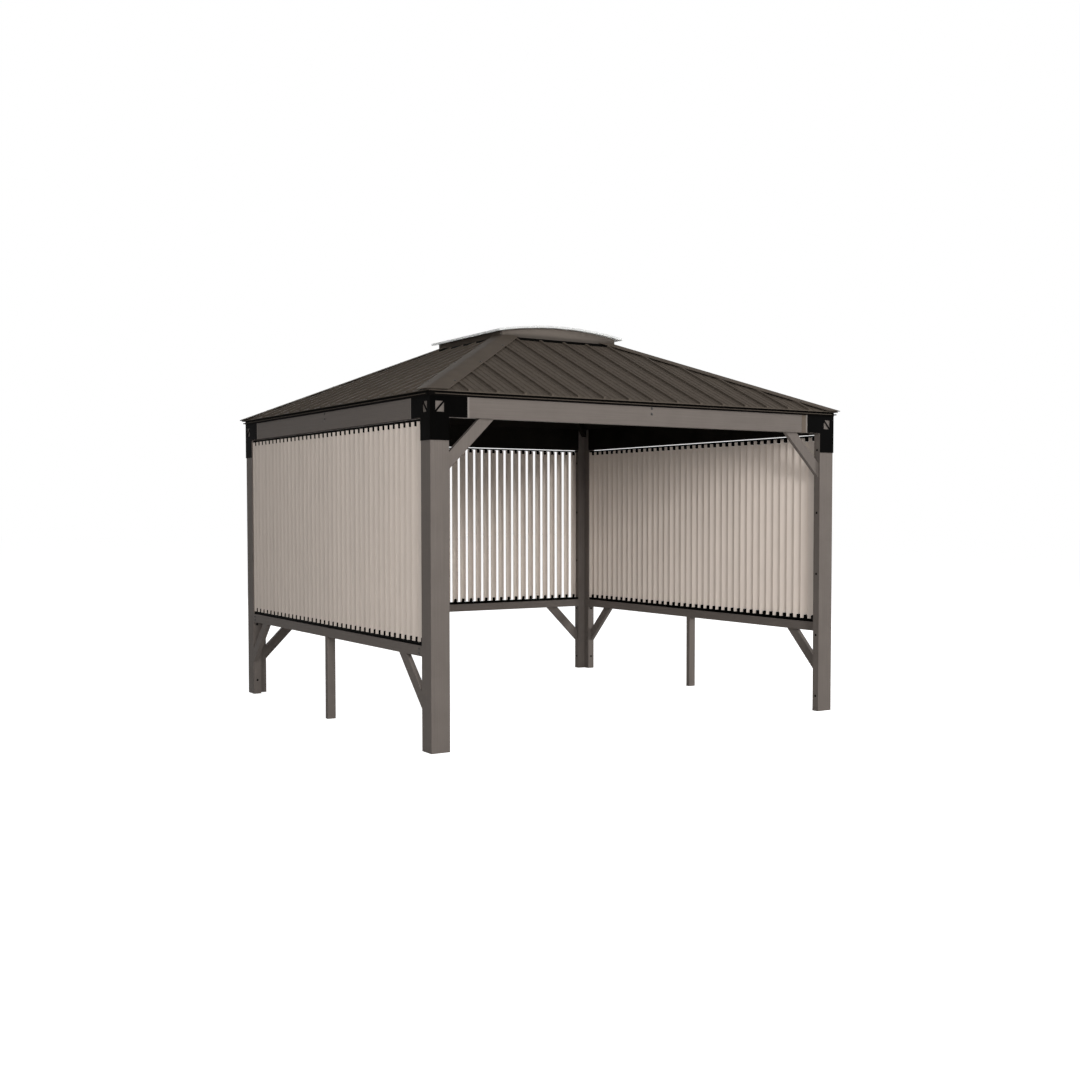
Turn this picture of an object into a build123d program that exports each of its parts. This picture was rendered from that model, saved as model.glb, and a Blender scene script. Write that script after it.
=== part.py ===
from build123d import *
import os
from math import atan2, cos, degrees, radians, sqrt, tan

os.makedirs("parts", exist_ok=True)

# Lengths are in millimetres. Z is up, the ground is Z = 0 and the open front faces -Y.

# Frame: four angle posts, tied by beams at the top and by rails low on three sides.
span = 3200
post_leg = 123
post_thick = 58
beam_bottom = 1985
beam_face = 122
rail_bottom = 567
rail_height = 62
middle_post_width = 40

# Diagonal braces at 45 degrees, with the reach of their long edge from the post.
brace_reach = 313
brace_width = 71
brace_thick = 30

# Corner brackets: black angle plates over each post head, with a barred window in each face.
bracket_thick = 4
bracket_arm = 245
bracket_drop = 137
bracket_window_width = 58
bracket_window_height = 64
bracket_bar = 10

# Louvre walls: upright blades that sit in clips on a track above and a track below.
blade_count = 39
blade_width_share = 1.09
blade_turn = 27
blade_thick = 3
blade_bow = 5
blade_gap = 2
track_width = 34
bottom_track_height = 19
top_track_height = 10
track_gap = 8
clip_width = 24
clip_depth = 16
clip_height = 28

# Roof: four slopes of pan sheet with standing ribs, raised hip caps and a lipped eave trim.
eave_overhang = 27
roof_slope = 24
pan_thick = 5
rib_height = 11
rib_width = 18
rib_count = 15
rib_spread_share = 0.83
hip_gap = 3
hip_cap_half = 100
hip_cap_thick = 3.5
hip_cap_overhang = 14
trim_height = 27
trim_thick = 5
trim_lip = 18
trim_lip_height = 7
trim_lip_level = 8

# Inside the roof: hip rafters that run up to a square ring.
rafter_width = 40
rafter_depth = 60
ring_width = 40
ring_depth = 50

# Skylight: a low curb with arched ends, a flashing round its foot and a bent sheet on top.
curb_half = 478
curb_thick = 25
curb_upstand = 43
curb_arch_rise = 41
flashing_width = 52
flashing_thick = 3
sheet_overhang = 42
sheet_thick = 14

# Derived sizes.
half = span / 2
post_inner = half - post_leg
clear_length = span - 2 * post_leg
leg_face = half - post_thick
rail_top = rail_bottom + rail_height
beam_face_top = beam_bottom + beam_face
brace_inner_reach = brace_reach - brace_width * sqrt(2)
eave_half = half + eave_overhang
eave_height = beam_face_top + trim_height
slope_rise = tan(radians(roof_slope))
pan_lift = pan_thick / cos(radians(roof_slope))
rib_lift = (pan_thick + rib_height) / cos(radians(roof_slope))
cap_lift = (pan_thick + rib_height + hip_cap_thick) / cos(radians(roof_slope))
rafter_drop = rafter_depth / cos(radians(roof_slope))
rib_pitch = 2 * eave_half * rib_spread_share / (rib_count - 1)
blade_pitch = clear_length / blade_count
blade_width = blade_pitch * blade_width_share
ring_half = curb_half - curb_thick - ring_width / 4
ring_out = ring_half + ring_width
sheet_half = curb_half + sheet_overhang
flashing_half = curb_half + flashing_width
flashing_lift = (pan_thick + flashing_thick) / cos(radians(roof_slope))
curb_corner_height = eave_height + (eave_half - curb_half) * slope_rise + pan_lift + curb_upstand
arch_radius = (curb_half ** 2 + curb_arch_rise ** 2) / (2 * curb_arch_rise)
arch_centre = curb_corner_height + curb_arch_rise - arch_radius
roof_reach_share = 1.05
roof_peak_share = 0.5
sky = 2 * eave_height


def block(low, high):
    """A box given by two opposite corners."""
    size = [b - a for a, b in zip(low, high)]
    centre = [(a + b) / 2 for a, b in zip(low, high)]
    return Pos(*centre) * Box(*size)


def prism(points, low, high):
    """An upright prism over a plan outline."""
    plan = make_face(Polyline(*points, close=True))
    return extrude(Pos(0, 0, low) * plan, high - low)


def wall_prism(points, near, far):
    """A plate in a wall's plane, from an outline of (along, height) points."""
    face = make_face(Polyline(*points, close=True))
    return Pos(0, far, 0) * extrude(Plane.XZ * face, far - near)


def square(half_size):
    """An upright square column about the middle, taller than the roof."""
    return block((-half_size, -half_size, 0), (half_size, half_size, sky))


def hip_body():
    """All that lies under the four slopes."""
    wide = eave_half * roof_reach_share
    narrow = ring_half * roof_peak_share
    low = eave_height - (wide - eave_half) * slope_rise
    high = eave_height + (eave_half - narrow) * slope_rise
    base = Pos(0, 0, low) * Rectangle(2 * wide, 2 * wide)
    peak = Pos(0, 0, high) * Rectangle(2 * narrow, 2 * narrow)
    return loft([base, peak]) + block((-wide, -wide, 0), (wide, wide, low))


roof_under = hip_body()


def under_roof(lift):
    """The same body raised by a lift, to give the next surface up or down."""
    return Pos(0, 0, lift) * roof_under


def side_sector(outer, inner, gap):
    """The plan of the front slope between its hips, as a column."""
    cut = gap * sqrt(2)
    plan = [(cut - outer, -outer), (outer - cut, -outer), (inner - cut, -inner), (cut - inner, -inner)]
    return prism(plan, 0, sky)


def hip_strip(half_width):
    """A strip along the front left hip, as a column."""
    far = eave_half * sqrt(2)
    return Rot(0, 0, 45) * block((-far, -half_width, 0), (0, half_width, sky))


def turned(piece, quarters):
    """A piece made at the front, carried round the gazebo by quarter turns."""
    return Rot(0, 0, 90 * quarters) * piece


def save(name, *solids):
    shape = solids[0] if len(solids) == 1 else Compound(children=list(solids))
    export_step(shape, f"parts/{name}.step")


sides = ["front", "right", "back", "left"]
corners = ["front_left", "front_right", "back_right", "back_left"]


def post():
    """An angle post whose head is cut to the slopes."""
    leg_along = block((-half, -half, 0), (-post_inner, -leg_face, sky))
    leg_across = block((-half, -half, 0), (-leg_face, -post_inner, sky))
    return (leg_along + leg_across) & roof_under


def beam():
    """A top beam between two posts, bevelled to carry the pan sheet."""
    return block((-post_inner, -half, beam_bottom), (post_inner, -leg_face, sky)) & roof_under


def bracket():
    """An angle plate over a post head, with a window and a bar in each face."""
    top = beam_face_top
    arm = block((-bracket_thick, -bracket_thick, beam_bottom), (bracket_arm, 0, top))
    leg = block((-bracket_thick, -bracket_thick, beam_bottom - bracket_drop), (post_leg, 0, top))
    middle = Pos(post_leg / 2, -bracket_thick / 2, beam_bottom + beam_face / 2)
    window = middle * Box(bracket_window_width, bracket_thick, bracket_window_height)
    bar_turn = degrees(atan2(bracket_window_height, bracket_window_width))
    bar = middle * Rot(0, -bar_turn, 0) * Box(2 * bracket_window_height, bracket_thick, bracket_bar)
    face = arm + leg - window + (bar & window)
    other = face.mirror(Plane(origin=(0, 0, 0), z_dir=(1, -1, 0)))
    return Pos(-half, -half, 0) * (face + other)


def rail():
    return block((-post_inner, -half, rail_bottom), (post_inner, -leg_face, rail_top))


def middle_post():
    return block((-middle_post_width / 2, -half, 0), (middle_post_width / 2, -leg_face, rail_bottom))


def brace_pair(level, near):
    """Two mirrored braces between the posts and the underside at a level."""
    outline = [
        (-post_inner, level - brace_reach),
        (-post_inner, level - brace_inner_reach),
        (brace_inner_reach - post_inner, level),
        (brace_reach - post_inner, level),
    ]
    one = wall_prism(outline, near, near + brace_thick)
    return one, one.mirror(Plane.YZ)


wall_middle = -half + post_thick / 2
bottom_track_low = rail_top
bottom_track_top = rail_top + bottom_track_height
top_track_top = beam_bottom - track_gap
top_track_low = top_track_top - top_track_height
blade_places = [(i + 0.5) * blade_pitch - clear_length / 2 for i in range(blade_count)]


def track(low, high, clip_low):
    """A track bar between two levels, with one clip for each blade."""
    bar_low = (-post_inner, wall_middle - track_width / 2, low)
    bar_high = (post_inner, wall_middle + track_width / 2, high)
    clip = Box(clip_width, clip_depth, clip_height, align=(Align.CENTER, Align.CENTER, Align.MIN))
    clips = [Pos(x, wall_middle, clip_low) * Rot(0, 0, blade_turn) * clip for x in blade_places]
    return block(bar_low, bar_high).fuse(*clips)


def blade():
    """One louvre blade: a bowed strip, hollow side inwards, notched at both ends for its clips."""
    side = blade_width / 2
    radius = (side ** 2 + blade_bow ** 2) / (2 * blade_bow)
    inner_share = (radius - blade_thick) / radius
    edge_y = -blade_thick / 2
    bow_centre = edge_y - blade_bow + radius
    inner_side = side * inner_share
    inner_edge_y = bow_centre + (edge_y - bow_centre) * inner_share
    outer_curve = ThreePointArc((-side, edge_y), (0, bow_centre - radius), (side, edge_y))
    inner_middle = (0, bow_centre - radius + blade_thick)
    inner_curve = ThreePointArc((inner_side, inner_edge_y), inner_middle, (-inner_side, inner_edge_y))
    right_edge = Line((side, edge_y), (inner_side, inner_edge_y))
    left_edge = Line((-inner_side, inner_edge_y), (-side, edge_y))
    section = make_face(outer_curve + right_edge + inner_curve + left_edge)
    low = bottom_track_top + blade_gap
    high = top_track_low - blade_gap
    body = extrude(Pos(0, 0, low) * section, high - low)
    notch_low = Pos(0, 0, bottom_track_top) * Box(clip_width, clip_depth, 2 * clip_height)
    notch_high = Pos(0, 0, top_track_low) * Box(clip_width, clip_depth, 2 * clip_height)
    return body - notch_low - notch_high


def rib(x):
    """A standing rib up the front slope, from the eave to the flashing or to below a hip cap."""
    top = -max(flashing_half, abs(x) + rib_width / 2 + hip_gap * sqrt(2))
    low_z = eave_height + pan_lift
    top_z = low_z + (eave_half + top) * slope_rise
    height = rib_lift - pan_lift
    outline = [(-eave_half, low_z), (top, top_z), (top, top_z + height), (-eave_half, low_z + height)]
    face = make_face(Polyline(*outline, close=True))
    return Pos(x - rib_width / 2, 0, 0) * extrude(Plane.YZ * face, rib_width)


def roof_panel():
    """One slope of pan sheet with its standing ribs."""
    pan = (under_roof(pan_lift) - roof_under) & side_sector(eave_half, ring_half, hip_gap)
    ribs = [rib((i - (rib_count - 1) / 2) * rib_pitch) for i in range(rib_count)]
    return pan.fuse(*ribs)


def hip_cap():
    """A folded strip over the front left hip, from the curb to just past the eaves."""
    shell = under_roof(cap_lift) - under_roof(rib_lift)
    return (shell & hip_strip(hip_cap_half) & square(eave_half + hip_cap_overhang)) - square(curb_half)


def eave_trim():
    """A strip under the edge of the pan sheet with a drip lip, mitred at the corners."""
    strip = block((-eave_half, -half - trim_thick, beam_face_top), (eave_half, -half, sky))
    lip_low = beam_face_top + trim_lip_level
    lip = block((-eave_half, -half - trim_lip, lip_low), (eave_half, -half, lip_low + trim_lip_height))
    return (strip + lip) & roof_under & side_sector(eave_half, half, 0)


def hip_rafter():
    """A rafter under the front left hip, from the post's inner corner to the ring."""
    band = roof_under - under_roof(-rafter_drop)
    return (band & hip_strip(rafter_width / 2) & square(leg_face)) - square(ring_out)


ring_low = eave_height + (eave_half - ring_out) * slope_rise - ring_depth


def ring_end():
    return block((-ring_out, -ring_out, ring_low), (ring_out, -ring_half, sky)) & roof_under


def ring_side():
    return block((-ring_out, -ring_half, ring_low), (-ring_half, ring_half, sky)) & roof_under


def barrel(radius, reach):
    """A lying round body whose top gives the arch of the skylight."""
    return Pos(0, 0, arch_centre) * Rot(90, 0, 0) * Cylinder(radius, 2 * reach)


curb_in = curb_half - curb_thick
over_pan = under_roof(pan_lift)


def curb_end():
    board = block((-curb_half, -curb_half, eave_height), (curb_half, -curb_in, sky))
    return (board & barrel(arch_radius, curb_half)) - over_pan


def curb_side():
    board = block((-curb_half, -curb_in, eave_height), (-curb_in, curb_in, sky))
    return (board & barrel(arch_radius, curb_half)) - over_pan


def flashing():
    """A flat mitred strip on the front pan, along the foot of the curb."""
    return (under_roof(flashing_lift) - over_pan) & side_sector(flashing_half, curb_half, 0)


def skylight_sheet():
    ring = barrel(arch_radius + sheet_thick, sheet_half) - barrel(arch_radius, sheet_half)
    return ring & block((-sheet_half, -sheet_half, eave_height), (sheet_half, sheet_half, sky))


a_post = post()
a_bracket = bracket()
a_cap = hip_cap()
for quarters, name in enumerate(corners):
    save(f"{name}_post", turned(a_post, quarters))
    save(f"{name}_bracket", turned(a_bracket, quarters))
    save(f"{name}_hip_cap", turned(a_cap, quarters))

a_beam = beam()
a_panel = roof_panel()
a_trim = eave_trim()
for quarters, name in enumerate(sides):
    save(f"{name}_beam", turned(a_beam, quarters))
    save(f"{name}_roof_panel", turned(a_panel, quarters))
    save(f"{name}_eave_trim", turned(a_trim, quarters))

low_braces = brace_pair(rail_bottom, -half)
bottom_track = track(bottom_track_low, bottom_track_top, bottom_track_top)
top_track = track(top_track_low, top_track_top, top_track_low - clip_height)
a_blade = blade()
for quarters, name in enumerate(sides):
    if name == "front":
        continue
    save(f"{name}_rail", turned(rail(), quarters))
    save(f"{name}_middle_post", turned(middle_post(), quarters))
    save(f"{name}_braces", *[turned(brace, quarters) for brace in low_braces])
    save(f"{name}_bottom_track", turned(bottom_track, quarters))
    save(f"{name}_top_track", turned(top_track, quarters))
    blades = [Pos(x, wall_middle, 0) * Rot(0, 0, blade_turn) * a_blade for x in blade_places]
    save(f"{name}_blades", *[turned(one, quarters) for one in blades])

front_near = wall_middle - brace_thick / 2
save("front_braces", *[brace for brace in brace_pair(beam_bottom, front_near)])
rounds = {"hip_rafters": hip_rafter(), "skylight_flashing": flashing()}
for name, piece in rounds.items():
    save(name, *[turned(piece, quarters) for quarters in range(len(sides))])
pairs = {
    "roof_ring_ends": ring_end(),
    "roof_ring_sides": ring_side(),
    "skylight_curb_ends": curb_end(),
    "skylight_curb_sides": curb_side(),
}
for name, piece in pairs.items():
    save(name, piece, turned(piece, 2))
save("skylight_sheet", skylight_sheet())
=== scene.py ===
from math import cos, pi, radians, sin, sqrt, tan

import bpy
from mathutils import Matrix, Vector


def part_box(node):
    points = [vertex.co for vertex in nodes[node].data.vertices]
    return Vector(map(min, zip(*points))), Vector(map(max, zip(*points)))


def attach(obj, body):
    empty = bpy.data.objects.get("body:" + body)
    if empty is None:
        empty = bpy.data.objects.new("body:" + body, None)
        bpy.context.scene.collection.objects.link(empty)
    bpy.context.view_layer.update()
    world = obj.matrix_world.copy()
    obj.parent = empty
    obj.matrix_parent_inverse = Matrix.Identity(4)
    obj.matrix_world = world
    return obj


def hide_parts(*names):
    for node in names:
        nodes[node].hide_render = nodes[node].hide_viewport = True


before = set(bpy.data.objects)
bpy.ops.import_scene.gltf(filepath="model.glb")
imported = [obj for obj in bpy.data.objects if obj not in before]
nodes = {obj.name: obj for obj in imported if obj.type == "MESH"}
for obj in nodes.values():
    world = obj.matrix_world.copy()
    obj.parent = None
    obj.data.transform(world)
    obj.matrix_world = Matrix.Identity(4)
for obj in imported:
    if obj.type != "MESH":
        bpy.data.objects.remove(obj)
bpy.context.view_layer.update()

# Sizes are in metres, in the CAD frame: Z is up and the open front faces -Y.
sides = ["front", "right", "back", "left"]
walls = ["right", "back", "left"]
corners = ["front_left", "front_right", "back_right", "back_left"]

post_low, post_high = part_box("front_left_post")
half = -post_low.x
post_leg = post_high.x - post_low.x
post_thick = 0.058
post_inner = half - post_leg
leg_middle = half - post_thick / 2
wall_middle = -leg_middle
clear_length = 2 * post_inner

beam_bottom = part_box("front_beam")[0].z
beam_face = 0.122
beam_face_top = beam_bottom + beam_face
bracket_arm = 0.245
rail_low, rail_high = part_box("left_rail")

roof_slope = radians(24)
slope_rise = tan(roof_slope)
eave_half = -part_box("front_roof_panel")[0].y
trim_height = 0.027
eave_height = beam_face_top + trim_height
pan_thick = 0.005
cap_rise = 0.0195
pan_lift = pan_thick / cos(roof_slope)
cap_lift = cap_rise / cos(roof_slope)
hip_cap_half = 0.1
rib_count = 15
rib_spread_share = 0.83
rib_pitch = 2 * eave_half * rib_spread_share / (rib_count - 1)
curb_half = -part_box("skylight_curb_ends")[0].y
flashing_half = -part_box("skylight_flashing")[0].y


# Mesh helpers.

class Shape:
    """Collects the points and faces of one piece."""

    def __init__(self):
        self.points = []
        self.faces = []

    def add(self, points, faces, place=None):
        start = len(self.points)
        placed = [Vector(p) for p in points]
        if place is not None:
            placed = [place @ p for p in placed]
        self.points += placed
        self.faces += [[start + i for i in face] for face in faces]

    def loft(self, rings, place=None):
        """A closed body through rings of points, capped at both ends."""
        count = len(rings[0])
        points = [p for ring in rings for p in ring]
        faces = [list(range(count))[::-1]]
        for r in range(len(rings) - 1):
            for i in range(count):
                j = (i + 1) % count
                faces.append([r * count + i, r * count + j, (r + 1) * count + j, (r + 1) * count + i])
        last = (len(rings) - 1) * count
        faces.append(list(range(last, last + count)))
        self.add(points, faces, place)

    def lathe(self, profile, steps, place=None):
        """A round body from (radius, height) pairs."""
        turns = [2 * pi * i / steps for i in range(steps)]
        self.loft([[(r * cos(t), r * sin(t), h) for t in turns] for r, h in profile], place)

    def piece(self, name, material, slot, crease=35):
        """Makes the Blender object, smooth except across its creases."""
        mesh = bpy.data.meshes.new(name)
        mesh.from_pydata(self.points, [], self.faces)
        mesh.validate()
        mesh.polygons.foreach_set("use_smooth", [True] * len(mesh.polygons))
        mesh.set_sharp_from_angle(angle=radians(crease))
        mesh.materials.append(material)
        made = bpy.data.objects.new(name, mesh)
        bpy.context.scene.collection.objects.link(made)
        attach(made, "root")
        return made


def turn(quarters):
    """Carries a place at the front round the gazebo by quarter turns."""
    return Matrix.Rotation(quarters * pi / 2, 4, "Z")


def facing(point, direction):
    """A frame at a point whose own Z looks along a direction."""
    spin = Vector(direction).to_track_quat("Z", "Y").to_matrix().to_4x4()
    return Matrix.Translation(point) @ spin


# Materials.

class Paint:
    """A node material with a principled shader and object coordinates."""

    def __init__(self, name):
        self.material = bpy.data.materials.new(name)
        self.material.use_nodes = True
        self.tree = self.material.node_tree
        self.shader = self.tree.nodes["Principled BSDF"]
        self.places = self.tree.nodes.new("ShaderNodeTexCoord").outputs["Object"]

    def link(self, out, into):
        self.tree.links.new(out, into)

    def noise(self, stretch, detail=3.0, rough=0.55):
        """A noise value with its own scale along each axis, in cycles per metre."""
        spread = self.tree.nodes.new("ShaderNodeMapping")
        spread.inputs["Scale"].default_value = stretch
        field = self.tree.nodes.new("ShaderNodeTexNoise")
        field.inputs["Scale"].default_value = 1.0
        field.inputs["Detail"].default_value = detail
        field.inputs["Roughness"].default_value = rough
        self.link(self.places, spread.inputs["Vector"])
        self.link(spread.outputs["Vector"], field.inputs["Vector"])
        return field.outputs["Fac"]

    def blend(self, first, second, share):
        """A weighted sum of two values."""
        mix = self.tree.nodes.new("ShaderNodeMix")
        mix.inputs["Factor"].default_value = share
        self.link(first, mix.inputs["A"])
        self.link(second, mix.inputs["B"])
        return mix.outputs["Result"]

    def ramp(self, value, stops):
        """Colours along a value."""
        band = self.tree.nodes.new("ShaderNodeValToRGB")
        points = band.color_ramp.elements
        while len(points) < len(stops):
            points.new(0.5)
        for point, (place, colour) in zip(points, stops):
            point.position = place
            point.color = (*colour, 1.0)
        self.link(value, band.inputs["Fac"])
        return band.outputs["Color"]

    def painted_shade_facing(self, coat, painted_shade, way):
        """The coat on all faces but those that look along a way, which get painted shade in its place."""
        look = self.tree.nodes.new("ShaderNodeNewGeometry")
        share = self.tree.nodes.new("ShaderNodeVectorMath")
        share.operation = "DOT_PRODUCT"
        share.inputs[1].default_value = way
        mask = self.tree.nodes.new("ShaderNodeMapRange")
        mask.inputs["From Min"].default_value = 0.15
        mask.inputs["From Max"].default_value = 0.35
        mix = self.tree.nodes.new("ShaderNodeMix")
        mix.data_type = "RGBA"
        self.link(look.outputs["Normal"], share.inputs[0])
        self.link(share.outputs["Value"], mask.inputs["Value"])
        self.link(mask.outputs["Result"], mix.inputs["Factor"])
        self.link(coat, mix.inputs[6])
        self.link(painted_shade, mix.inputs[7])
        return mix.outputs[2]

    def spread(self, value, low, high):
        """A value carried to a new range."""
        scale = self.tree.nodes.new("ShaderNodeMapRange")
        scale.inputs["From Min"].default_value = 0.3
        scale.inputs["From Max"].default_value = 0.7
        scale.inputs["To Min"].default_value = low
        scale.inputs["To Max"].default_value = high
        self.link(value, scale.inputs["Value"])
        return scale.outputs["Result"]

    def bump(self, value, depth, strength, under=None):
        """Raises the surface by a value, over an earlier bump if there is one."""
        rise = self.tree.nodes.new("ShaderNodeBump")
        rise.inputs["Strength"].default_value = strength
        rise.inputs["Distance"].default_value = depth
        self.link(value, rise.inputs["Height"])
        if under is not None:
            self.link(under, rise.inputs["Normal"])
        return rise.outputs["Normal"]


def shade(colour, share):
    return tuple(channel * share for channel in colour)


def streaked(axis, along, across):
    """Noise scales for streaks that run along one axis."""
    return tuple(along if name == axis else across for name in "XYZ")


def coated(name, colour, axis, gloss, contrast=0.1, along=2.0, across=160.0, specular=0.03, shaded_way=None):
    """Powder coat over brushed metal: faint lengthwise streaks, soft patches and a fine orange peel.
    Faces that look along the way given get near-black painted shade in place of the coat."""
    paint = Paint(name)
    streak = paint.noise(streaked(axis, along, across), 4.0)
    patch = paint.noise((7.0, 7.0, 7.0), 2.0)
    tone = paint.blend(streak, patch, 0.35)
    stops = [(0.3, shade(colour, 1 - contrast)), (0.5, colour), (0.7, shade(colour, 1 + contrast))]
    coat = paint.ramp(tone, stops)
    if shaded_way is not None:
        # Painted shade: a near-black tone for the faces turned where shade falls.
        painted_shade = paint.ramp(patch, [(0.3, shade(under_roof_shade_colour, 0.7)), (0.7, shade(under_roof_shade_colour, 1.3))])
        coat = paint.painted_shade_facing(coat, painted_shade, shaded_way)
    paint.link(coat, paint.shader.inputs["Base Color"])
    grain = paint.noise((1500.0, 1500.0, 1500.0), 2.0)
    rough = paint.blend(grain, patch, 0.5)
    paint.link(paint.spread(rough, gloss - 0.08, gloss + 0.08), paint.shader.inputs["Roughness"])
    fine = paint.bump(grain, 0.0004, 0.12)
    paint.link(paint.bump(streak, 0.0006, 0.1, fine), paint.shader.inputs["Normal"])
    paint.shader.inputs["Specular IOR Level"].default_value = specular
    return paint.material


def graded_by_height(name, colour, axis, low, high):
    """Powder coat that goes from darker at the foot to paler at the top, with streaks along one axis."""
    paint = Paint(name)
    streak = paint.noise(streaked(axis, 3.0, 140.0), 3.0)
    split = paint.tree.nodes.new("ShaderNodeSeparateXYZ")
    paint.link(paint.places, split.inputs["Vector"])
    rise = paint.tree.nodes.new("ShaderNodeMapRange")
    rise.inputs["From Min"].default_value = low
    rise.inputs["From Max"].default_value = high
    paint.link(split.outputs["Z"], rise.inputs["Value"])
    tone = paint.blend(rise.outputs["Result"], streak, 0.12)
    stops = [(0.22, shade(colour, 0.6)), (0.42, shade(colour, 1.05)), (0.8, shade(colour, 1.4))]
    paint.link(paint.ramp(tone, stops), paint.shader.inputs["Base Color"])
    paint.link(paint.spread(streak, 0.52, 0.66), paint.shader.inputs["Roughness"])
    paint.link(paint.bump(streak, 0.0005, 0.12), paint.shader.inputs["Normal"])
    paint.shader.inputs["Specular IOR Level"].default_value = 0.03
    return paint.material


def blade_coat(name, colour):
    """Satin coat on the blades: upright streaks, and each blade a shade of its own."""
    paint = Paint(name)
    streak = paint.noise(streaked("Z", 1.5, 240.0), 3.0)
    patch = paint.noise((9.0, 9.0, 4.0), 2.0)
    own = paint.tree.nodes.new("ShaderNodeNewGeometry").outputs["Random Per Island"]
    tone = paint.blend(paint.blend(streak, patch, 0.4), own, 0.22)
    stops = [(0.25, shade(colour, 0.92)), (0.5, colour), (0.75, shade(colour, 1.06))]
    paint.link(paint.ramp(tone, stops), paint.shader.inputs["Base Color"])
    grain = paint.noise((1800.0, 1800.0, 1800.0), 2.0)
    paint.link(paint.spread(grain, 0.46, 0.6), paint.shader.inputs["Roughness"])
    fine = paint.bump(grain, 0.0003, 0.1)
    paint.link(paint.bump(patch, 0.002, 0.06, fine), paint.shader.inputs["Normal"])
    paint.shader.inputs["Specular IOR Level"].default_value = 0.15
    return paint.material


def moulded(name, colour):
    """Black moulded plastic with a fine grain and worn, paler patches."""
    paint = Paint(name)
    patch = paint.noise((40.0, 40.0, 40.0), 3.0)
    stops = [(0.3, shade(colour, 0.7)), (0.55, colour), (0.75, shade(colour, 1.7))]
    paint.link(paint.ramp(patch, stops), paint.shader.inputs["Base Color"])
    grain = paint.noise((2600.0, 2600.0, 2600.0), 2.0)
    paint.link(paint.spread(patch, 0.5, 0.68), paint.shader.inputs["Roughness"])
    paint.link(paint.bump(grain, 0.0004, 0.25), paint.shader.inputs["Normal"])
    paint.shader.inputs["Specular IOR Level"].default_value = 0.01
    return paint.material


def screw_metal(name, colour):
    """Darkened screw steel with turning marks and dull spots."""
    paint = Paint(name)
    spot = paint.noise((320.0, 320.0, 320.0), 3.0)
    stops = [(0.3, shade(colour, 0.6)), (0.5, colour), (0.75, shade(colour, 1.5))]
    paint.link(paint.ramp(spot, stops), paint.shader.inputs["Base Color"])
    paint.link(paint.spread(spot, 0.35, 0.55), paint.shader.inputs["Roughness"])
    paint.link(paint.bump(spot, 0.0003, 0.3), paint.shader.inputs["Normal"])
    paint.shader.inputs["Metallic"].default_value = 0.4
    return paint.material


def pale_sheet(name, colour):
    """Milky twin-wall sheet with fine flutes along its straight way."""
    paint = Paint(name)
    flutes = paint.tree.nodes.new("ShaderNodeTexWave")
    flutes.bands_direction = "X"
    flutes.inputs["Scale"].default_value = 16.0
    flutes.inputs["Distortion"].default_value = 0.0
    paint.link(paint.places, flutes.inputs["Vector"])
    cloud = paint.noise((6.0, 6.0, 6.0), 2.0)
    tone = paint.blend(flutes.outputs["Fac"], cloud, 0.5)
    stops = [(0.2, shade(colour, 0.94)), (0.5, colour), (0.8, shade(colour, 1.04))]
    paint.link(paint.ramp(tone, stops), paint.shader.inputs["Base Color"])
    paint.link(paint.spread(cloud, 0.22, 0.36), paint.shader.inputs["Roughness"])
    paint.link(paint.bump(flutes.outputs["Fac"], 0.0004, 0.06), paint.shader.inputs["Normal"])
    paint.shader.inputs["Transmission Weight"].default_value = 0.4
    paint.shader.inputs["IOR"].default_value = 1.4
    return paint.material


frame_colour = (0.133, 0.115, 0.103)
roof_colour = (0.077, 0.063, 0.051)
# Near-black painted shade: the rafters and ring under the roof, and the faces turned in or down.
under_roof_shade_colour = (0.006, 0.005, 0.004)
# Near-black painted shade for the eave trim, whose recesses sit in the eave's shadow.
trim_shade_colour = (0.004, 0.0034, 0.003)
bracket_colour = (0.0010, 0.0009, 0.0008)
track_colour = (0.0012, 0.0011, 0.0010)
blade_colour = (0.650, 0.571, 0.507)
sheet_colour = (0.92, 0.93, 0.92)
screw_colour = (0.030, 0.027, 0.024)
collar_colour = (0.200, 0.178, 0.162)
joint_colour = (0.110, 0.088, 0.070)
curb_colour = (0.118, 0.101, 0.087)

down = (0, 0, -1)
inwards = {"front": (0, 1, 0), "right": (-1, 0, 0), "back": (0, -1, 0), "left": (1, 0, 0)}
frame_paint = {axis: coated(f"frame_paint_{axis}", frame_colour, axis, gloss=0.5) for axis in "XYZ"}
# The beams' inward faces get painted shade.
beam_paint = {
    side: coated(f"beam_paint_{side}", frame_colour, "XY"[sides.index(side) % 2], gloss=0.5, shaded_way=way)
    for side, way in inwards.items()
}
# The roof panels' undersides get painted shade.
roof_paint = {
    axis: coated(f"roof_paint_{axis}", roof_colour, axis, gloss=0.62, contrast=0.16, along=1.2, across=60.0,
                 specular=0.015, shaded_way=down)
    for axis in "XY"
}
curb_low, curb_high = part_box("skylight_curb_ends")
curb_paint = graded_by_height("curb_paint", curb_colour, "X", curb_low.z, curb_high.z)
even = {"axis": "Z", "along": 8.0, "across": 8.0}
# The hip caps' undersides get painted shade.
hip_paint = coated("hip_paint", shade(roof_colour, 1.08), gloss=0.62, specular=0.015, shaded_way=down, **even)
# The rafters are painted shade all over.
rafter_paint = coated("rafter_paint", under_roof_shade_colour, gloss=0.65, contrast=0.15, specular=0.02, **even)
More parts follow.
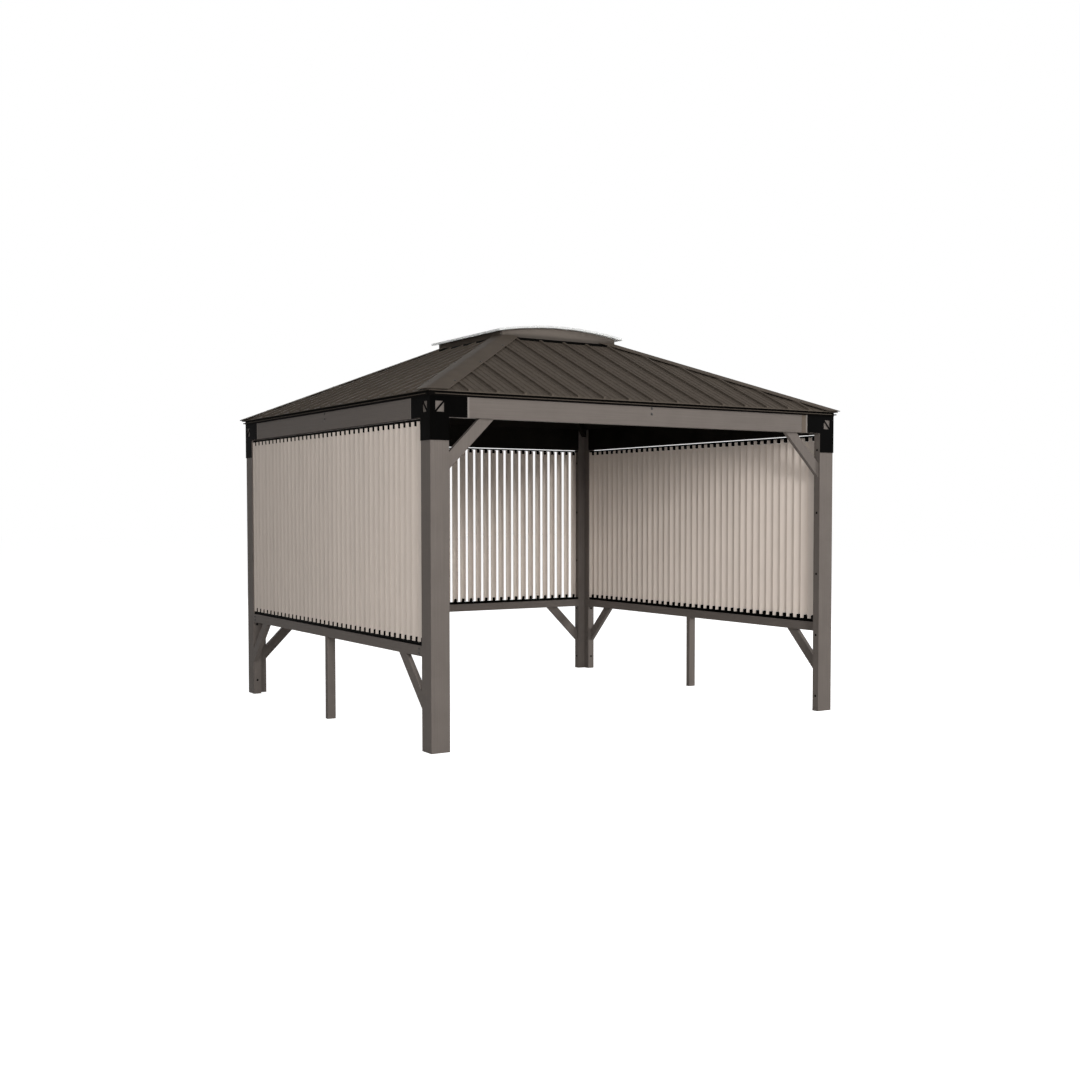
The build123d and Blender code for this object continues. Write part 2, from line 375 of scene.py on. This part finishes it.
# The eave trim is painted shade: near-black for its shadowed recesses.
trim_shade_paint = coated("trim_shade_paint", trim_shade_colour, gloss=0.65, contrast=0.2, specular=0.01, **even)
bracket_paint = coated("bracket_paint", bracket_colour, "Z", gloss=0.6, contrast=0.3, along=12.0, across=90.0,
                       specular=0.01)
collar_paint = coated("collar_paint", collar_colour, "Z", gloss=0.5, contrast=0.08)
joint_paint = coated("joint_paint", joint_colour, "Z", gloss=0.55, contrast=0.15)
blade_paint = blade_coat("blade_paint", blade_colour)
track_plastic = moulded("track_plastic", track_colour)
plug_plastic = moulded("plug_plastic", shade(track_colour, 1.5))
screw_steel = screw_metal("screw_steel", screw_colour)
sheet_plastic = pale_sheet("sheet_plastic", sheet_colour)


# Louvre blades: bowed strips with rolled edges, notched round their clips.

blade_count = 39
blade_width_share = 1.09
blade_pitch = clear_length / blade_count
blade_side = blade_pitch * blade_width_share / 2
blade_turn = radians(27)
blade_bow = 0.005
blade_thick = 0.003
blade_bead = 0.0022
notch_side = 0.0122
notch_depth = 0.0264
notch_slack = 0.01
blades_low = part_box("left_blades")[0].z
blades_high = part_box("left_blades")[1].z
blade_places = [(i + 0.5) * blade_pitch - clear_length / 2 for i in range(blade_count)]


def blade_outline():
    """The closed section of a blade as (along, across) points, some of them at the sides of its notch."""
    flat = blade_side - blade_bead
    outer_steps = [-1, -0.8, -0.6, -0.4, -notch_side / flat, 0, notch_side / flat, 0.4, 0.6, 0.8, 1]

    def bow(share, offset):
        return (share * flat, -blade_thick / 2 - blade_bow * (1 - share ** 2) + offset)

    outer = [bow(share, 0) for share in outer_steps]
    inner = [bow(share, blade_thick) for share in reversed(outer_steps)]
    beads = []
    for way in (1, -1):
        turns = [way * (-pi / 2 + pi * k / 5) for k in range(1, 5)]
        beads.append([(way * (flat + blade_bead * cos(t)), blade_bead * sin(t) * way) for t in turns])
    return outer + beads[0] + inner + beads[1]


def blade_mesh():
    """One blade about its own middle: points and faces."""
    section = blade_outline()
    count = len(section)
    levels = [blades_low, blades_low + notch_depth, blades_high - notch_depth, blades_high]
    points = [(x, y, z) for z in levels for x, y in section]
    inside = [abs(x) <= notch_side * (1 + notch_slack) for x, _ in section]
    faces = []
    for r in range(3):
        for i in range(count):
            j = (i + 1) % count
            if r != 1 and inside[i] and inside[j]:
                continue
            faces.append([r * count + i, r * count + j, (r + 1) * count + j, (r + 1) * count + i])
    left = [i for i in range(count) if section[i][0] <= -notch_side * (1 - notch_slack)]
    right = [i for i in range(count) if section[i][0] >= notch_side * (1 - notch_slack)]
    middle = [i for i in range(count) if inside[i]]
    left.sort(key=lambda i: (i < count / 3, i))
    for level, flip in ((0, True), (3, False)):
        for leg in (left, right):
            ring = [level * count + i for i in leg]
            faces.append(ring[::-1] if flip else ring)
    for level, flip in ((1, True), (2, False)):
        ring = [level * count + i for i in middle]
        faces.append(ring[::-1] if flip else ring)
    for low in (0, 2):
        for way in (-1, 1):
            a, b = [i for i in middle if abs(section[i][0] - way * notch_side) < notch_side * 2 * notch_slack]
            wall = [low * count + a, low * count + b, (low + 1) * count + b, (low + 1) * count + a]
            faces.append(wall if way < 0 else wall[::-1])
    return points, faces


blade_points, blade_faces = blade_mesh()
for side in walls:
    shape = Shape()
    for x in blade_places:
        spot = Matrix.Translation((x, wall_middle, 0)) @ Matrix.Rotation(blade_turn, 4, "Z")
        shape.add(blade_points, blade_faces, turn(sides.index(side)) @ spot)
    blades = shape.piece(f"{side}_louvre_blades", blade_paint, "blade_paint")
    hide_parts(f"{side}_blades")


# Louvre tracks: a grooved channel with a rounded clip and pivot pin for each blade.

track_side = 0.017
bottom_track_height = 0.019
top_track_height = 0.010
track_chamfer = 0.0015
groove_half = 0.0025
groove_depth = 0.002
clip_half = 0.012
clip_deep = 0.008
clip_height = 0.028
clip_round = 0.006
clip_bevel = 0.001
pin_radius = 0.0036
pin_proud = 0.0014
pin_steps = 8


def track_section(height):
    """The channel's outline as (across, up) points: one half and its mirror image."""
    middle = height / 2
    right = [
        (track_side - track_chamfer, 0), (track_side, track_chamfer), (track_side, middle - groove_half),
        (track_side - groove_depth, middle - groove_half), (track_side - groove_depth, middle + groove_half),
        (track_side, middle + groove_half), (track_side, height - track_chamfer),
        (track_side - track_chamfer, height),
    ]
    return right + [(-y, z) for y, z in reversed(right)]


def clip_outline(inset):
    """A clip seen square on: straight sides with a rounded head."""
    wide = clip_half - inset
    round_size = clip_round - inset
    top = clip_height - inset
    turns = [k * pi / 8 for k in range(5)]
    right = [(wide - round_size + round_size * cos(t), top - round_size + round_size * sin(t)) for t in turns]
    return [(wide, 0)] + right + [(-x, z) for x, z in reversed(right)] + [(-wide, 0)]


def louvre_track(side, base, height, up):
    """A track with its clips, built upwards from its base (up = 1) or downwards from it (up = -1)."""
    shape = Shape()
    flip = Matrix.Diagonal((1, up, up, 1))
    wall = turn(sides.index(side)) @ Matrix.Translation((0, wall_middle, base))
    section = track_section(height)
    shape.loft([[(x, y, z) for y, z in section] for x in (-post_inner, post_inner)], wall @ flip)
    back_half = [(-clip_deep, clip_bevel), (clip_bevel - clip_deep, 0)]
    steps = back_half + [(-y, inset) for y, inset in reversed(back_half)]
    rings = [[(x, y, z) for x, z in clip_outline(inset)] for y, inset in steps]
    pin_profile = [(pin_radius, -pin_proud), (pin_radius, pin_proud / 2), (pin_radius / 2, pin_proud)]
    for x in blade_places:
        spot = wall @ Matrix.Translation((x, 0, 0)) @ Matrix.Rotation(blade_turn, 4, "Z")
        spot = spot @ flip @ Matrix.Translation((0, 0, height))
        shape.loft(rings, spot)
        for way in (-1, 1):
            pin = facing((0, way * clip_deep, clip_height / 2), (0, way, 0))
            shape.lathe(pin_profile, pin_steps, spot @ pin)
    return shape


for side in walls:
    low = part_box(f"{side}_bottom_track")[0].z
    track = louvre_track(side, low, bottom_track_height, 1)
    made = track.piece(f"{side}_bottom_louvre_track", track_plastic, "track_black")
    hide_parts(f"{side}_bottom_track")
    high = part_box(f"{side}_top_track")[1].z
    track = louvre_track(side, high, top_track_height, -1)
    made = track.piece(f"{side}_top_louvre_track", track_plastic, "track_black")
    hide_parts(f"{side}_top_track")


# Roof: fine raised lines up each pan between the ribs.

line_share = 4
line_base = 0.005
line_top = 0.0016
line_height = 0.0024
line_start = 0.004
line_hidden = 0.1
line_crease = 20


def pan_height(depth):
    """Height of the pan's face at a distance from the middle of the gazebo."""
    return eave_height + (eave_half - depth) * slope_rise + pan_lift


for quarters, side in enumerate(sides):
    shape = Shape()
    step = rib_pitch / line_share
    reach = int(eave_half / step)
    for k in range(-reach, reach + 1):
        x = k * step
        on_rib = k % line_share == 0 and abs(k) // line_share <= (rib_count - 1) / 2
        near, far = eave_half - line_start, max(flashing_half, abs(x) + line_hidden)
        if on_rib or near <= far:
            continue
        rings = []
        for depth in (near, far):
            z = pan_height(depth)
            rings.append([
                (x - line_base, -depth, z - line_height), (x + line_base, -depth, z - line_height),
                (x + line_top, -depth, z + line_height), (x - line_top, -depth, z + line_height),
            ])
        shape.loft(rings, turn(quarters))
    shape.piece(f"{side}_pan_lines", roof_paint["YX"[quarters % 2]], "roof_paint", line_crease)


# Hip caps: a strip folded over each hip with a soft bend.

cap_sheet = 0.0035
cap_thick = cap_sheet / cos(roof_slope)
cap_bend = 0.018
cap_steps = [-1, -0.75, -0.5, -0.35, -0.22, -0.12, -0.05, 0.05, 0.12, 0.22, 0.35, 0.5, 0.75, 1]
cap_overhang = 0.0138
cap_ends = (-sqrt(2) * cap_overhang, sqrt(2) * (eave_half - curb_half))


def cap_point(along, aside, lift):
    """A point of the front left cap: a plan distance up the hip from the corner, and one to the side."""
    x = (along + aside) / sqrt(2) - eave_half
    y = (along - aside) / sqrt(2) - eave_half
    rise = (along - sqrt(aside ** 2 + cap_bend ** 2)) / sqrt(2) * slope_rise
    return (x, y, eave_height + rise + lift)


for quarters, corner in enumerate(corners):
    shape = Shape()
    rings = []
    for end in cap_ends:
        top, under = [], []
        for step in cap_steps:
            aside = step * hip_cap_half
            top.append(cap_point(end + abs(aside), aside, cap_lift))
            under.append(cap_point(end + abs(aside), aside, cap_lift - cap_thick))
        rings.append(top + under[::-1])
    shape.loft(rings, turn(quarters))
    cap = shape.piece(f"{corner}_folded_cap", hip_paint, "roof_paint")
    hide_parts(f"{corner}_hip_cap")


# Drip lips: a rolled edge along the lip of each eave trim.

lip_reach = 0.018
lip_level = 0.008
lip_depth = 0.007
lip_out = half + lip_reach
lip_low = beam_face_top + lip_level
lip_high = lip_low + lip_depth
roll_thick = 0.0008
roll_back = 0.009
lip_end = 1.577
roll_turns = [-pi / 2 + pi * k / 6 for k in range(7)]
roll_size = lip_depth / 2
roll_middle = lip_low + roll_size


def roll_point(radius, t):
    """A point of the lip's round edge, as (across, up)."""
    return (-lip_out + roll_size - radius * cos(t), roll_middle + radius * sin(t))


for quarters, side in enumerate(sides):
    outer = [roll_point(roll_size + roll_thick, t) for t in roll_turns]
    inner = [roll_point(roll_size, t) for t in reversed(roll_turns)]
    back = -lip_out + roll_back
    outline = [(back, lip_low - roll_thick)] + outer + [(back, lip_high + roll_thick), (back, lip_high)]
    outline += inner + [(back, lip_low)]
    shape = Shape()
    rings = []
    for way in (-1, 1):
        rings.append([(way * lip_end, y, z) for y, z in outline])
    shape.loft(rings, turn(quarters))
    shape.piece(f"{side}_drip_lip", roof_paint["XY"[quarters % 2]], "roof_paint")


# Screws and plugs.

def pan_head(radius, height):
    """Profile of a round screw head with a hollow drive, on a thin washer."""
    return [
        (radius * 1.5, -height * 0.5), (radius * 1.5, height * 0.2), (radius * 1.35, height * 0.3),
        (radius, height * 0.3), (radius * 0.95, height * 0.8), (radius * 0.7, height),
        (radius * 0.45, height), (radius * 0.4, height * 0.55), (radius * 0.05, height * 0.5),
    ]


def plug_profile(radius, height):
    """Profile of a low domed plug."""
    return [(radius, -height), (radius, height * 0.3), (radius * 0.85, height * 0.75), (radius * 0.4, height)]


hip_screw = pan_head(radius=0.0052, height=0.004)
frame_screw = pan_head(radius=0.0062, height=0.004)
plug = plug_profile(radius=0.0085, height=0.0022)
screw_steps = 12

hip_screw_inset = 0.016
hip_screw_first = 0.26
hip_screw_pitch = 0.545
hip_screw_count = 3
for quarters, corner in enumerate(corners):
    shape = Shape()
    for k in range(hip_screw_count):
        for way in (-1, 1):
            along = hip_screw_first + k * hip_screw_pitch
            aside = hip_cap_half - hip_screw_inset
            near = eave_half - (along - aside) / sqrt(2)
            other = eave_half - (along + aside) / sqrt(2)
            z = eave_height + (eave_half - near) * slope_rise + cap_lift
            if way > 0:
                spot, look = (-other, -near, z), (0, -sin(roof_slope), cos(roof_slope))
            else:
                spot, look = (-near, -other, z), (-sin(roof_slope), 0, cos(roof_slope))
            shape.lathe(hip_screw, screw_steps, turn(quarters) @ facing(spot, look))
    shape.piece(f"{corner}_hip_screws", screw_steel, "roof_paint")

plug_heights = [0.108, 0.546, 0.984, 1.42, 1.866]
for quarters, corner in enumerate(corners):
    shape = Shape()
    for z in plug_heights:
        shape.lathe(plug, screw_steps, turn(quarters) @ facing((-post_inner, -leg_middle, z), (1, 0, 0)))
        shape.lathe(plug, screw_steps, turn(quarters) @ facing((-leg_middle, -post_inner, z), (0, 1, 0)))
    shape.piece(f"{corner}_post_plugs", plug_plastic, "track_black")

beam_screw_drops = [0.010, 0.047]
beam_screw_heights = [beam_face_top - drop for drop in beam_screw_drops]
rail_screw_in = 0.037
rail_screw_rise = 0.013
rail_middle = (rail_low.z + rail_high.z) / 2
for quarters, side in enumerate(sides):
    shape = Shape()
    for z in beam_screw_heights:
        shape.lathe(frame_screw, screw_steps, turn(quarters) @ facing((0, -half, z), (0, -1, 0)))
    if side in walls:
        for way in (-1, 1):
            for rise in (-1, 1):
                spot = (way * (post_inner - rail_screw_in), -half, rail_middle + rise * rail_screw_rise)
                shape.lathe(frame_screw, screw_steps, turn(quarters) @ facing(spot, (0, -1, 0)))
    shape.piece(f"{side}_frame_screws", screw_steel, "frame_paint")


# Beam ends: a slim pale collar beside each bracket arm, and a brown joint strip at the front right.

collar_width = 0.014
collar_proud = 0.0012
collar_start = half - bracket_arm
joint_width = 0.038
joint_proud = 0.0008


def beam_strip(shape, near, width, proud, place):
    """A folded strip on the face and underside of a beam."""
    outline = [
        (-half - proud, beam_face_top), (-half - proud, beam_bottom - proud),
        (-half + post_thick + proud, beam_bottom - proud), (-half + post_thick + proud, beam_bottom),
        (-half, beam_bottom), (-half, beam_face_top),
    ]
    shape.loft([[(x, y, z) for y, z in outline] for x in (near, near + width)], place)


for quarters, side in enumerate(sides):
    shape = Shape()
    beam_strip(shape, -collar_start, collar_width, collar_proud, turn(quarters))
    beam_strip(shape, collar_start - collar_width, collar_width, collar_proud, turn(quarters))
    shape.piece(f"{side}_beam_collars", collar_paint, "frame_paint")

shape = Shape()
beam_strip(shape, collar_start - collar_width - joint_width, joint_width, joint_proud, turn(0))
shape.piece("front_beam_joint", joint_paint, "frame_paint")


# Paint on the CAD parts.

def dress(name, material):
    part = nodes[name]
    part.data.materials.clear()
    part.data.materials.append(material)


for corner in corners:
    dress(f"{corner}_post", frame_paint["Z"])
    dress(f"{corner}_bracket", bracket_paint)
    dress(f"{corner}_hip_cap", hip_paint)
for quarters, side in enumerate(sides):
    along, upslope = ("X", "Y") if quarters % 2 == 0 else ("Y", "X")
    dress(f"{side}_beam", beam_paint[side])
    dress(f"{side}_roof_panel", roof_paint[upslope])
    dress(f"{side}_eave_trim", trim_shade_paint)
    dress(f"{side}_braces", frame_paint["Z"])
    if side in walls:
        dress(f"{side}_rail", frame_paint[along])
        dress(f"{side}_middle_post", frame_paint["Z"])
        dress(f"{side}_blades", blade_paint)
        dress(f"{side}_bottom_track", track_plastic)
        dress(f"{side}_top_track", track_plastic)
for name in ("hip_rafters", "roof_ring_ends", "roof_ring_sides"):
    dress(name, rafter_paint)
dress("skylight_curb_ends", curb_paint)
dress("skylight_curb_sides", roof_paint["Y"])
# The black flashing stands in for the shaded gap round the skylight curb: painted shade.
dress("skylight_flashing", track_plastic)
dress("skylight_sheet", sheet_plastic)


# Floor, world, lamps and camera.

def seen_directly(tree):
    """One for rays that show the backdrop itself, straight, in a reflection or through the sheet."""
    path = tree.nodes.new("ShaderNodeLightPath")
    total = path.outputs["Is Camera Ray"]
    for name in ("Is Glossy Ray", "Is Transmission Ray"):
        most = tree.nodes.new("ShaderNodeMath")
        most.operation = "MAXIMUM"
        tree.links.new(total, most.inputs[0])
        tree.links.new(path.outputs[name], most.inputs[1])
        total = most.outputs["Value"]
    return total


floor_reach = 60.0
floor_colour = (0.7, 0.7, 0.7, 1.0)
floor_lift = 0.915
sky_level = 0.12
white = (1.0, 1.0, 1.0, 1.0)

floor_mesh = bpy.data.meshes.new("studio_floor")
edge = [(-floor_reach, -floor_reach, 0), (floor_reach, -floor_reach, 0),
        (floor_reach, floor_reach, 0), (-floor_reach, floor_reach, 0)]
floor_mesh.from_pydata(edge, [], [(0, 1, 2, 3)])
floor = bpy.data.objects.new("studio_floor", floor_mesh)
bpy.context.scene.collection.objects.link(floor)
floor_material = bpy.data.materials.new("studio_floor")
floor_material.use_nodes = True
tree = floor_material.node_tree
tree.nodes.clear()
diffuse = tree.nodes.new("ShaderNodeBsdfDiffuse")
diffuse.inputs["Color"].default_value = floor_colour
glow = tree.nodes.new("ShaderNodeEmission")
gain = tree.nodes.new("ShaderNodeMath")
gain.operation = "MULTIPLY"
gain.inputs[1].default_value = floor_lift
tree.links.new(seen_directly(tree), gain.inputs[0])
tree.links.new(gain.outputs["Value"], glow.inputs["Strength"])
both = tree.nodes.new("ShaderNodeAddShader")
tree.links.new(diffuse.outputs["BSDF"], both.inputs[0])
tree.links.new(glow.outputs["Emission"], both.inputs[1])
surface = tree.nodes.new("ShaderNodeOutputMaterial")
tree.links.new(both.outputs["Shader"], surface.inputs["Surface"])
floor_mesh.materials.append(floor_material)

world = bpy.data.worlds.new("studio")
bpy.context.scene.world = world
world.use_nodes = True
tree = world.node_tree
tree.nodes.clear()
soft = tree.nodes.new("ShaderNodeBackground")
soft.inputs["Color"].default_value = white
soft.inputs["Strength"].default_value = sky_level
backdrop = tree.nodes.new("ShaderNodeBackground")
backdrop.inputs["Color"].default_value = white
choose = tree.nodes.new("ShaderNodeMixShader")
tree.links.new(seen_directly(tree), choose.inputs["Fac"])
tree.links.new(soft.outputs["Background"], choose.inputs[1])
tree.links.new(backdrop.outputs["Background"], choose.inputs[2])
surface = tree.nodes.new("ShaderNodeOutputWorld")
tree.links.new(choose.outputs["Shader"], surface.inputs["Surface"])

aim = Vector((0, 0, 1.2))
lamp_distance = 12.0


def soft_box(name, azimuth, elevation, size, power):
    """A square lamp on a circle about the gazebo; azimuth 0 is in front, positive to the right."""
    a, e = radians(azimuth), radians(elevation)
    out = Vector((sin(a) * cos(e), -cos(a) * cos(e), sin(e)))
    data = bpy.data.lights.new(name, "AREA")
    data.size = size
    data.energy = power
    lamp = bpy.data.objects.new(name, data)
    lamp.location = aim + out * lamp_distance
    lamp.rotation_euler = out.to_track_quat("Z", "Y").to_euler()
    bpy.context.scene.collection.objects.link(lamp)


soft_box("key", azimuth=-14, elevation=12, size=2.4, power=520)
soft_box("left", azimuth=-40, elevation=12, size=6.0, power=430)
soft_box("right", azimuth=60, elevation=22, size=3.0, power=1000)
soft_box("back", azimuth=178, elevation=22, size=6.0, power=300)

eye = (-5.0907, -8.5503, 1.4301)
eye_yaw = 32.982
eye_pitch = -2.330
eye_lens = 44.039
eye_sensor = 36.0
eye_shift = (-0.0341, 0.0233)
eye_range = 200.0
camera_data = bpy.data.cameras.new("camera")
camera_data.sensor_width = eye_sensor
camera_data.lens = eye_lens
camera_data.shift_x, camera_data.shift_y = eye_shift
camera_data.clip_end = eye_range
camera = bpy.data.objects.new("camera", camera_data)
camera.location = eye
camera.rotation_euler = (radians(90 + eye_pitch), 0, radians(-eye_yaw))
bpy.context.scene.collection.objects.link(camera)
bpy.context.scene.camera = camera
bpy.context.scene.view_settings.view_transform = "Standard"
